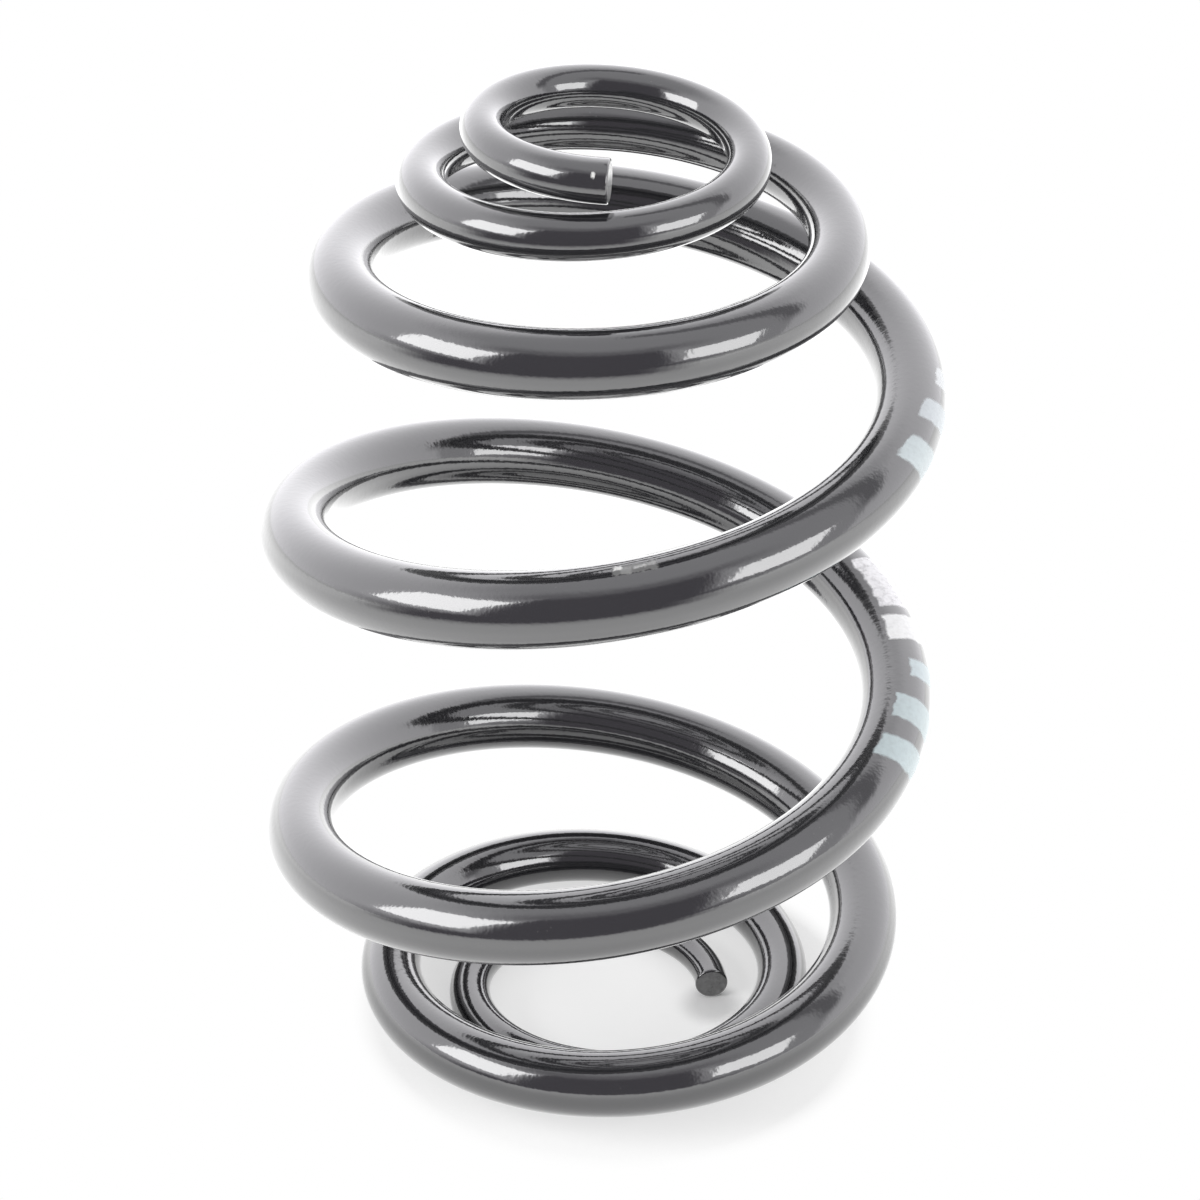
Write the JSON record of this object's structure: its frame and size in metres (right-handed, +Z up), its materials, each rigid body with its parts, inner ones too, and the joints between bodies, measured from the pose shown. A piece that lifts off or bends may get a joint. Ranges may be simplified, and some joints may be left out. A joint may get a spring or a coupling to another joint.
{
  "type": "helical spring",
  "caption": "Barrel coil spring of tapered round wire, wide and open in the middle and drawn in to small flat coils at both ends, coated gloss black.",
  "frame": {"origin": "centre of the bottom coil in the plane that it stands on", "axes": "+Z up the axis of the coils from the lower end to the upper end; the front of the picture looks along +Y, so +X is to the viewer's right and the cut lower end of the wire lies at +X"},
  "size_m": [0.1397, 0.1398, 0.2115],
  "materials": {
    "black_coating": "smooth gloss black coating on spring steel, with pale blue-white paint dashes on the outside of two turns"
  },
  "bodies": {
    "root": {"coil_spring": "black_coating"}
  },
  "joints": []
}
